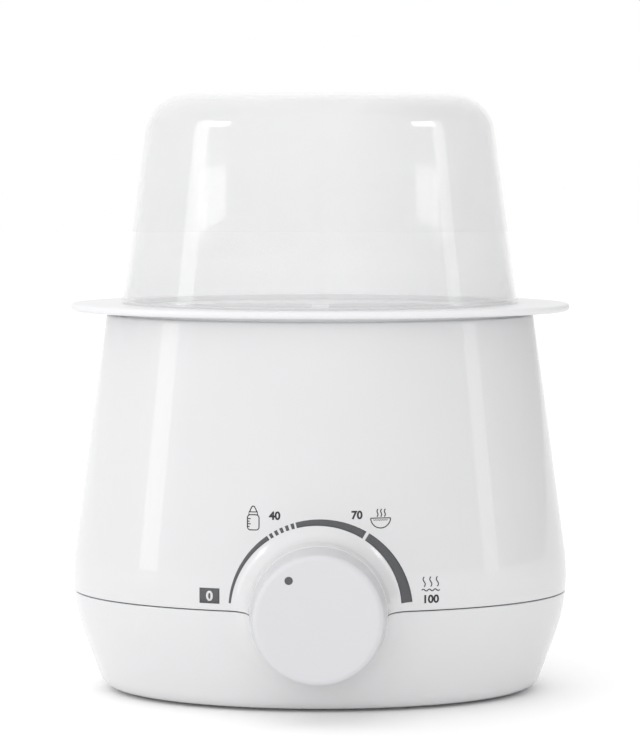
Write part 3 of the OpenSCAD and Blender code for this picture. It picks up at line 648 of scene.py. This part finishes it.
def tray_flange(plastic):
    """The flange with its round edge, the rim that locates the lid, and the skirt inside the tank."""
    half_w, half_d = (tray_hi.x - tray_lo.x) / 2, (tray_hi.y - tray_lo.y) / 2
    edge_r = TRAY_T / 2
    rim_r = RIM_T / 2
    rim = [(PAN_HALF_W, PAN_Z - PAN_T), (PAN_HALF_W, PAN_Z)]
    rim += arc(PAN_HALF_W + rim_r, RIM_TOP_Z - rim_r, rim_r, 180, 0, 8)
    rim += arc(RIM_HALF_W + RIM_FILLET, TRAY_TOP_Z + RIM_FILLET, RIM_FILLET, 180, 270, 4)
    rows = [(x, x * RIM_RATIO, z) for x, z in rim]
    edge = arc(half_w - edge_r, TRAY_LOW_Z + edge_r, edge_r, 90, -90, 12)
    rows += [(x, x - half_w + half_d, z) for x, z in edge]
    skirt_gap, skirt_r, skirt_h = 2 * MM, 1 * MM, 6 * MM
    skirt_w, skirt_ratio = TANK_HALF[0] - skirt_gap, TANK_HALF[1] / TANK_HALF[0]
    skirt_low = TRAY_LOW_Z - skirt_h
    skirt = [(skirt_w, TRAY_LOW_Z)]
    skirt += arc(skirt_w - skirt_r, skirt_low + skirt_r, skirt_r, 0, -180, 6)
    skirt.append((skirt_w - 2 * skirt_r, TRAY_LOW_Z))
    rows += [(x, x * skirt_ratio, z) for x, z in skirt]
    bm = bmesh.new()
    turned(bm, rows, upright, 224, closed=True)
    finish_piece("tray_flange", bm, plastic, "tray", ["bottle_tray"], 40)


def rounded_square(cx, inset, steps=10):
    """Outline of a well, grown by a negative inset, with its four round corners."""
    r = WELL_CORNER_R - inset
    flat = WELL_HALF - WELL_CORNER_R
    points = []
    for k, (sx, sy) in enumerate(((1, 1), (-1, 1), (-1, -1), (1, -1))):
        points += arc(cx + sx * flat, sy * flat, r, 90 * k, 90 * k + 90, steps)
    return points


def well_side(bm, cx, turn, low_z, top_z):
    """One flat side of a well, with its two slots."""
    flat = WELL_HALF - WELL_CORNER_R
    c, s = math.cos(turn), math.sin(turn)

    def place(u, z):
        return (cx + c * WELL_HALF - s * u, AXIS_Y + s * WELL_HALF + c * u, z)

    slots = []
    for side in (-1, 1):
        slot = arc(side * SLOT_X, SLOT_TOP_Z, SLOT_R, 0, 180, 10)
        slots.append(slot + arc(side * SLOT_X, SLOT_LOW_Z, SLOT_R, 180, 360, 10))
    pierced_sheet(bm, [(-flat, low_z), (flat, low_z), (flat, top_z), (-flat, top_z)], slots, place)


def well_rings(bm, cx, rows):
    """Lofts a well's rounded outline through rows of (inset, height)."""
    rings = [[bm.verts.new((x, AXIS_Y + y, z)) for x, y in rounded_square(cx, inset)]
             for inset, z in rows]
    for a, b in zip(rings, rings[1:]):
        bridge(bm, a, b)


def tray_wells(plastic):
    """The pan and its two slotted wells, as one sheet with thickness."""
    bm = bmesh.new()
    mouth_r, floor_r = 1 * MM, 3 * MM
    centres = (-WELL_PITCH / 2, WELL_PITCH / 2)
    count = 224
    half_w = PAN_HALF_W * 1.004
    outline = [(half_w * math.cos(TAU * i / count), half_w * RIM_RATIO * math.sin(TAU * i / count))
               for i in range(count)]
    drain_r, drain_reach, drains_round = 5 * MM, 17 * MM, 6
    mouths = [rounded_square(cx, -mouth_r) for cx in centres]
    pierced_sheet(bm, outline, mouths, lambda x, y: (x, AXIS_Y + y, PAN_Z))
    for cx in centres:
        rows = [(-mouth_r * (1 - math.sin(a)), PAN_Z - mouth_r * (1 - math.cos(a)))
                for a in (0, math.pi / 6, math.pi / 3, math.pi / 2)]
        well_rings(bm, cx, rows)
        top_z, low_z = PAN_Z - mouth_r, WELL_FLOOR_Z + floor_r
        steps = 10
        loops = [[bm.verts.new((x, AXIS_Y + y, z)) for x, y in rounded_square(cx, 0, steps)]
                 for z in (low_z, top_z)]
        for k in range(4):
            for i in range(k * (steps + 1), k * (steps + 1) + steps):
                bm.faces.new((loops[0][i], loops[0][i + 1], loops[1][i + 1], loops[1][i]))
            well_side(bm, cx, k * math.pi / 2, low_z, top_z)
        rows = [(floor_r * (1 - math.cos(a)), low_z - floor_r * math.sin(a))
                for a in (0, math.pi / 8, math.pi / 4, math.pi * 3 / 8, math.pi / 2)]
        well_rings(bm, cx, rows)
        drains = [circle(cx, 0, drain_r, 32)]
        for i in range(drains_round):
            a = TAU * i / drains_round
            x, y = cx + drain_reach * math.cos(a), drain_reach * math.sin(a)
            drains.append(circle(x, y, drain_r, 32))
        pierced_sheet(bm, rounded_square(cx, floor_r), drains,
                      lambda x, y: (x, AXIS_Y + y, WELL_FLOOR_Z))
    bmesh.ops.remove_doubles(bm, verts=bm.verts, dist=2e-6)
    piece = finish_piece("tray_wells", bm, plastic, "tray", (), 40, up=(0, 0, 1))
    thicken(piece, WELL_WALL)


# ---------- Lid ----------

def lid_profile(t, low_z):
    """The lid's side, round top edge and flat top, t inside the outer surface, from the bottom up."""
    corner_z = lid_hi.z - LID_CORNER_R
    lean = math.degrees(LID_LEAN)

    def side(z):
        return LID_HALF[0] - t - (z - lid_lo.z) * math.tan(LID_LEAN)

    corner_x = side(corner_z + LID_CORNER_R * math.sin(LID_LEAN)) + t
    corner_x -= LID_CORNER_R * math.cos(LID_LEAN)
    points = [(side(low_z), low_z)]
    points += arc(corner_x, corner_z, LID_CORNER_R - t, lean, 90, 18)
    top_x, top_z = points[-1]
    points += [(top_x * f, top_z) for f in (0.75, 0.5, 0.25, 0)]
    ratio = (LID_HALF[1] - t) / (LID_HALF[0] - t)
    return [(x, x * ratio, z) for x, z in points]


def lid(materials):
    """The drawn lid: a closed wall from the top inside, round the bead, to the top outside."""
    r = 0.5 * MM
    bead_gap = 0.2 * MM
    bead_x, bead_d = LID_HALF[0] + LID_BEAD, LID_HALF[1] + LID_BEAD
    bead = arc(-r, lid_lo.z + r, r, -90, 0, 4)
    bead += arc(-r, lid_lo.z + LID_BEAD_H - r, r, 0, 90, 4)
    inner = lid_profile(LID_WALL, lid_lo.z + r)
    rows = list(reversed(inner)) + [(inner[0][0] + r, inner[0][1] + r, lid_lo.z)]
    rows += [(bead_x + x, bead_d + x, z) for x, z in bead]
    rows += lid_profile(0, lid_lo.z + LID_BEAD_H + bead_gap)
    bm = bmesh.new()
    turned(bm, rows, upright, 256)
    piece = finish_piece("drawn_lid", bm, materials["lid_plastic"], "lid", ["lid"],
                         40)
    piece.visible_shadow = False


# ---------- Knob ----------

POINTER_RADIUS = 22.8 * MM
POINTER_R = 1.9 * MM
POINTER_SINK = 0.25 * MM
POINTER_ANGLE = math.radians(126)


def knob(materials):
    """The knob: skirt, flared side, round edge and a flat face with the pointer's small recess."""
    bm = bmesh.new()
    face_r, edge_r, skirt_r = 30 * MM, 3 * MM, 31.6 * MM
    skirt_h, skirt_edge = 1 * MM, 0.4 * MM
    hollow_r, hollow_end = face_r - 2.8 * MM, KNOB_FACE - 2.2 * MM
    hub_r, socket_r, socket_end = SHAFT_HOLE_R + 1.5 * MM, 3 * MM, KNOB_BACK + 9 * MM
    count = 160
    outside = [(hollow_r, KNOB_BACK), (skirt_r - skirt_edge, KNOB_BACK),
               (skirt_r, KNOB_BACK + skirt_edge), (skirt_r, KNOB_BACK + skirt_h)]
    outside += arc(face_r - edge_r, KNOB_FACE - edge_r, edge_r, 0, 90, 12)
    inside = [(hollow_r, KNOB_BACK), (hollow_r, hollow_end), (hub_r, hollow_end),
              (hub_r, KNOB_BACK), (socket_r, KNOB_BACK), (socket_r, socket_end), (0, socket_end)]
    for rows in (outside, inside):
        turned(bm, [(r, r, depth) for r, depth in rows], forward, count)
    x = POINTER_RADIUS * math.cos(POINTER_ANGLE)
    z = KNOB_Z + POINTER_RADIUS * math.sin(POINTER_ANGLE)
    rim = circle(0, KNOB_Z, face_r - edge_r, count)
    dot = circle(x, z, POINTER_R, 40)
    pierced_sheet(bm, rim, [dot], lambda u, v: (u, AXIS_Y - KNOB_FACE, v))
    dot_face, dot_back = KNOB_FACE - POINTER_SINK, KNOB_FACE - 1 * MM
    rings = [[bm.verts.new((u, AXIS_Y - depth, v)) for u, v in dot]
             for depth in (KNOB_FACE, dot_face)]
    bridge(bm, *rings)
    finish_piece("knob_cap", bm, materials["knob_plastic"], "control_knob", ["knob"],
                 40)
    bm = bmesh.new()
    rows = [(0, dot_back), (POINTER_R, dot_back), (POINTER_R, dot_face), (0, dot_face)]
    turned(bm, [(r, r, depth) for r, depth in rows],
           lambda w, d, depth, a: (x + w * math.cos(a), AXIS_Y - depth, z + d * math.sin(a)), 40)
    finish_piece("knob_dot", bm, materials["pointer_ink"], "control_knob", ["knob_pointer"],
                 40)


# ---------- Printed scale ----------

def on_front(x, z, lift=INK_LIFT):
    return (x, AXIS_Y - boss_depth(x, z) - lift, z)


def ribbon(bm, left, right):
    """A printed strip between two lines of points on the housing's front."""
    rows = []
    for (x0, z0), (x1, z1) in zip(left, right):
        across = [(x0 + (x1 - x0) * k / 3, z0 + (z1 - z0) * k / 3) for k in range(4)]
        rows.append([bm.verts.new(on_front(x, z)) for x, z in across])
    for a, b in zip(rows, rows[1:]):
        for k in range(3):
            bm.faces.new((a[k], a[k + 1], b[k + 1], b[k]))


def stroke(bm, points, width):
    """A drawn line of even width through the points."""
    left, right = [], []
    for i, (x, z) in enumerate(points):
        x0, z0 = points[max(i - 1, 0)]
        x1, z1 = points[min(i + 1, len(points) - 1)]
        along = Vector((x1 - x0, z1 - z0)).normalized() * (width / 2)
        left.append((x - along.y, z + along.x))
        right.append((x + along.y, z - along.x))
    ribbon(bm, left, right)


def closed_stroke(bm, points, width):
    """The same round a closed outline: it starts and ends in the middle of its first side."""
    (x0, z0), (x1, z1) = points[0], points[-1]
    middle = ((x0 + x1) / 2, (z0 + z1) / 2)
    stroke(bm, [middle, *points, middle], width)


def finish_print(name, bm, ink):
    piece = finish_piece(name, bm, ink, "base", (), 60, up=(0, -1, 0))
    thicken(piece, INK_T)


def scale_band(a0, a1):
    """Edges of the scale between two angles: it widens steadily from the off end."""
    count = max(2, round(abs(a1 - a0) / 1.5))
    outer, inner = [], []
    for i in range(count + 1):
        a = a0 + (a1 - a0) * i / count
        turn = (SCALE_OFF - a) / 171.3
        r_out = (42.0 + 1.6 * turn ** 2) * MM
        r_in = (41.0 - 2.6 * turn ** 0.8) * MM
        c, s = math.cos(math.radians(a)), math.sin(math.radians(a))
        outer.append((r_out * c, KNOB_Z + r_out * s))
        inner.append((r_in * c, KNOB_Z + r_in * s))
    return outer, inner


def scale_arc(ink):
    bm = bmesh.new()
    dashes = [(DASH_START - DASH_PITCH * i, DASH_END - DASH_PITCH * i) for i in range(DASHES)]
    for a0, a1 in [(SCALE_OFF, SCALE_FIRST_END), *dashes, *SCALE_BANDS]:
        ribbon(bm, *scale_band(a0, a1))
    finish_print("scale_arc", bm, ink)


def wave(x, z, height, swing, lean=0.0):
    """A rising steam line."""
    points = []
    for i in range(13):
        t = i / 12
        points.append((x + swing * math.sin(TAU * t) + lean * t, z + height * t))
    return points


def bottle_sign(bm, x, z, line):
    """A feeding bottle that stands on (x, z): body, collar, teat and level marks."""
    w, h, r = 2.7 * MM, 7.0 * MM, 1.4 * MM
    body = arc(x + w - r, z + h - r, r, 0, 90, 5) + arc(x - w + r, z + h - r, r, 90, 180, 5)
    body += arc(x - w + r, z + r, r, 180, 270, 5) + arc(x + w - r, z + r, r, 270, 360, 5)
    closed_stroke(bm, body, line)
    collar_w, collar_z = 2.0 * MM, z + h + 1.3 * MM
    stroke(bm, [(x - collar_w, z + h), (x - collar_w, collar_z),
                (x + collar_w, collar_z), (x + collar_w, z + h)], line)
    foot_w, neck_w, neck_z = 1.7 * MM, 1.2 * MM, z + h + 2.6 * MM
    teat = [(x + foot_w, collar_z), (x + neck_w, neck_z)]
    teat += arc(x, z + h + 3.2 * MM, 0.8 * MM, 0, 180, 6)
    teat += [(x - neck_w, neck_z), (x - foot_w, collar_z)]
    stroke(bm, teat, line)
    for i in range(4):
        mark_z = z + (1.6 + 1.2 * i) * MM
        mark_w = (1.5 if i % 2 else 1.0) * MM
        stroke(bm, [(x - w, mark_z), (x - w + mark_w, mark_z)], line)


def bowl_sign(bm, x, z, line):
    """A bowl with its rim at (x, z), its food and three lines of steam."""
    r, food_line = 4.6 * MM, 0.3 * MM
    stroke(bm, arc(x, z, r, 180, 360, 16), line)
    stroke(bm, [(x - r, z), (x + r, z)], line)
    food = [(x - 3.4 * MM + 0.55 * MM * i, z - (0.75 + 0.3 * (i % 2)) * MM) for i in range(13)]
    stroke(bm, food, food_line)
    for i in (-1, 0, 1):
        stroke(bm, wave(x + i * 1.7 * MM, z + 0.6 * MM, 3.6 * MM, 0.35 * MM, 0.5 * MM), line)


def steam_sign(bm, x, z, line):
    """Three lines of steam over rippled water at (x, z)."""
    for i in (-1, 0, 1):
        stroke(bm, wave(x + i * 3.1 * MM, z + 1.6 * MM, 4.6 * MM, 0.5 * MM), line)
    left, pitch, swing = x - 4.2 * MM, 0.35 * MM, 0.45 * MM
    ripple = [(left + pitch * i, z + swing * math.sin(TAU * i / 8)) for i in range(25)]
    stroke(bm, ripple, line)


def symbols(ink):
    """Plain signs beside the scale: a feeding bottle, a steaming bowl, and rising steam."""
    bm = bmesh.new()
    line = 0.48 * MM
    bottle_sign(bm, -30.4 * MM, 87.2 * MM, line)
    bowl_sign(bm, 28.6 * MM, 92.8 * MM, line)
    steam_sign(bm, 52.0 * MM, 58.8 * MM, line)
    finish_print("scale_signs", bm, ink)


def number_mesh(text, height):
    """Outline of a number in the built-in font, as flat points round the origin, and its faces."""
    curve = bpy.data.curves.new("number", "FONT")
    curve.body = text
    curve.align_x = "CENTER"
    curve.size = height / 0.7
    curve.offset = 0.05 * height
    helper = bpy.data.objects.new("number", curve)
    bpy.context.collection.objects.link(helper)
    graph = bpy.context.evaluated_depsgraph_get()
    mesh = bpy.data.meshes.new_from_object(helper.evaluated_get(graph))
    points = [(v.co.x, v.co.y - height / 2) for v in mesh.vertices]
    faces = [tuple(p.vertices) for p in mesh.polygons]
    bpy.data.objects.remove(helper)
    bpy.data.curves.remove(curve)
    bpy.data.meshes.remove(mesh)
    return points, faces


def numbers(ink):
    """Round numbers in degrees beside the three signs."""
    bm = bmesh.new()
    places = (("40", -20.4 * MM, 94.0 * MM), ("70", 17.6 * MM, 94.4 * MM),
              ("100", 52.0 * MM, 54.6 * MM))
    for text, x, z in places:
        points, faces = number_mesh(text, 3.6 * MM)
        verts = [bm.verts.new(on_front(x + px, z + pz)) for px, pz in points]
        for face in faces:
            bm.faces.new([verts[i] for i in face])
    finish_print("scale_numbers", bm, ink)


def off_box(ink, white):
    """The dark box at the off end with a light nought in it."""
    x, z = -50.9 * MM, 56.0 * MM
    half_w, half_h = 4.7 * MM, 3.6 * MM
    bm = bmesh.new()
    steps = 8
    top = [(x - half_w + 2 * half_w * i / steps, z + half_h) for i in range(steps + 1)]
    low = [(px, z - half_h) for px, _ in top]
    ribbon(bm, top, low)
    finish_print("scale_off_box", bm, ink)
    bm = bmesh.new()
    points, faces = number_mesh("0", 4.4 * MM)
    verts = [bm.verts.new(on_front(x + px, z + pz, 2 * INK_LIFT)) for px, pz in points]
    for face in faces:
        bm.faces.new([verts[i] for i in face])
    finish_print("scale_nought", bm, white)


# ---------- Camera, light and floor ----------

CAMERA_DISTANCE = 1.3615
CAMERA_HEIGHT = 0.2731
CAMERA_SIDE = 0.0107
CAMERA_LENS = 136.0
CAMERA_PITCH = math.radians(4.99)


def camera():
    data = bpy.data.cameras.new("camera")
    cam = bpy.data.objects.new("camera", data)
    bpy.context.collection.objects.link(cam)
    data.sensor_width = 36.0
    data.lens = CAMERA_LENS
    data.clip_end = 20.0
    cam.location = (CAMERA_SIDE, AXIS_Y - CAMERA_DISTANCE, CAMERA_HEIGHT)
    turn = math.atan2(CAMERA_SIDE, CAMERA_DISTANCE)
    cam.rotation_euler = (math.radians(90) - CAMERA_PITCH, 0, turn)
    bpy.context.scene.camera = cam


def softbox(name, place, target, size, radiance, mirrored=True):
    """A rectangular softbox that faces a target, as bright per area as radiance says.

    With mirrored off, it lights the object without showing in its glossy skin.
    """
    data = bpy.data.lights.new(name, "AREA")
    data.shape = "RECTANGLE"
    data.size, data.size_y = size
    data.energy = radiance * math.pi * size[0] * size[1]
    lamp = bpy.data.objects.new(name, data)
    bpy.context.collection.objects.link(lamp)
    lamp.visible_glossy = mirrored
    lamp.location = place
    lamp.rotation_euler = (Vector(target) - Vector(place)).to_track_quat("-Z", "Y").to_euler()


def studio():
    """A white room, dimmer on the right and brighter overhead, with strips, lamps and a fill."""
    world = bpy.data.worlds.new("studio")
    world.use_nodes = True
    tree = world.node_tree
    place = tree.nodes.new("ShaderNodeTexCoord")
    split = tree.nodes.new("ShaderNodeSeparateXYZ")
    ramp = tree.nodes.new("ShaderNodeValToRGB")
    across = tree.nodes.new("ShaderNodeMapRange")
    across.inputs["From Min"].default_value = -1
    stops = ((0.0, 0.96), (0.42, 1.0), (0.58, 1.0), (1.0, 0.30))
    ramp.color_ramp.elements.new(0.42)
    ramp.color_ramp.elements.new(0.58)
    for stop, (at, value) in zip(ramp.color_ramp.elements, stops):
        stop.position = at
        stop.color = (value, value, value, 1)
    upward = tree.nodes.new("ShaderNodeMapRange")
    upward.inputs["From Min"].default_value = 0.2
    upward.inputs["To Min"].default_value = 1.0
    upward.inputs["To Max"].default_value = 1.45
    tree.links.new(place.outputs["Generated"], split.inputs["Vector"])
    tree.links.new(split.outputs["X"], across.inputs["Value"])
    tree.links.new(split.outputs["Z"], upward.inputs["Value"])
    tree.links.new(across.outputs["Result"], ramp.inputs["Fac"])
    tree.links.new(ramp.outputs["Color"], tree.nodes["Background"].inputs["Color"])
    tree.links.new(upward.outputs["Result"], tree.nodes["Background"].inputs["Strength"])
    bpy.context.scene.world = world
    bpy.context.scene.view_settings.view_transform = "Standard"
    middle = (0, AXIS_Y, 0.15)
    softbox("left_strip", (-0.97, -0.53, 0.40), middle, (0.20, 0.75), 1.7)
    softbox("right_strip", (0.97, -0.53, 0.40), middle, (0.16, 0.75), 1.3)
    lid_shoulder = (0, AXIS_Y, 0.272)
    softbox("left_lamp", (-1.01, -0.77, 0.74), lid_shoulder, (0.36, 0.20), 4.5)
    softbox("right_lamp", (1.01, -0.77, 0.74), lid_shoulder, (0.32, 0.20), 4.5)
    softbox("front_fill", (-0.4, -2.2, 0.30), middle, (1.4, 0.8), 1.3, mirrored=False)


def floor():
    """A plain pale floor that runs far back."""
    s = Shader("studio_floor")
    s.colour(s.noise(3), (0.975, 0.975, 0.975), (0.99, 0.99, 0.99))
    s.number(s.noise(30), 0.8, 0.9)
    bm = bmesh.new()
    size, steps = 6.0, 12
    marks = [-size + 2 * size * i / steps for i in range(steps + 1)]
    grid = [[bm.verts.new((x, y, 0)) for x in marks] for y in marks]
    for a, b in zip(grid, grid[1:]):
        for i in range(steps):
            bm.faces.new((a[i], a[i + 1], b[i + 1], b[i]))
    finish_piece("studio_floor", bm, s.material, None, up=(0, 0, 1))


# ---------- The scene ----------

camera()
studio()
floor()
materials = make_materials()
dress_cad_nodes(materials)
housings(materials)
water_tank(materials)
tray_flange(materials["tray_plastic"])
tray_wells(materials["tray_plastic"])
lid(materials)
knob(materials)
scale_arc(materials["scale_ink"])
symbols(materials["sign_ink"])
numbers(materials["sign_ink"])
off_box(materials["scale_ink"], materials["white_ink"])
